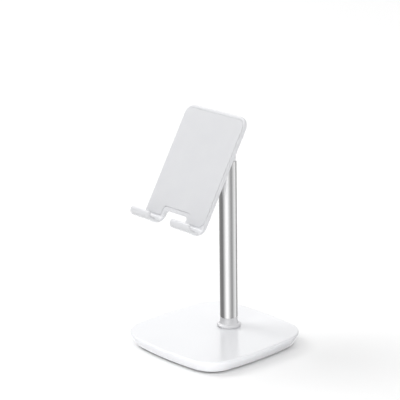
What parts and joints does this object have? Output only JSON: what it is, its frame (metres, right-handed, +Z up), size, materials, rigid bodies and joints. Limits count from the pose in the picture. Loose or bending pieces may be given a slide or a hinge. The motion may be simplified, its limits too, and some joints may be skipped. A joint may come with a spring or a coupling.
{
  "type": "phone stand",
  "caption": "Desk phone stand: weighted rounded-square base, slim metal post and a tilting padded cradle with two hooks and a cable notch.",
  "frame": {"origin": "centre of the foot pad's underside, on the desk", "axes": "+Z up along the post, -Y towards the user (the side the phone's screen faces), +X to the user's right"},
  "size_m": [0.105, 0.105, 0.1771],
  "materials": {
    "white_shell": "satin",
    "white_trim": "satin",
    "post_metal": "satin anodised",
    "steel": "zinc plated",
    "weight": "raw",
    "plug_metal": "machined",
    "friction": "acetal",
    "pad_silicone": "matte",
    "foot_silicone": "matte",
    "liner": "moulded"
  },
  "bodies": {
    "stand": {"base_cover": "white_shell", "base_weight": "weight", "base_bottom": "liner", "foot_pad": "foot_silicone", "base_screws": "steel", "post_screw": "steel", "post_washer": "steel", "post_collar": "white_trim", "post_tube": "post_metal", "tube_plug": "plug_metal", "hinge_neck": "white_trim", "neck_set_screw": "steel"},
    "cradle": {"hinge_bracket": "white_trim", "hinge_pin": "steel", "friction_washers": "friction", "disc_spring": "steel", "hinge_nut": "steel", "hinge_cap_left": "white_trim", "hinge_cap_right": "white_trim", "bracket_screws": "steel", "cradle_plate": "white_shell", "back_pad": "pad_silicone", "hook_pad_left": "pad_silicone", "hook_pad_right": "pad_silicone"}
  },
  "joints": [
    {"name": "cradle_tilt", "type": "hinge", "parent": "stand", "child": "cradle", "pos_m": [0, 0.0147, 0.1594], "axis": [1, 0, 0], "range_deg": [-55, 31]}
  ]
}
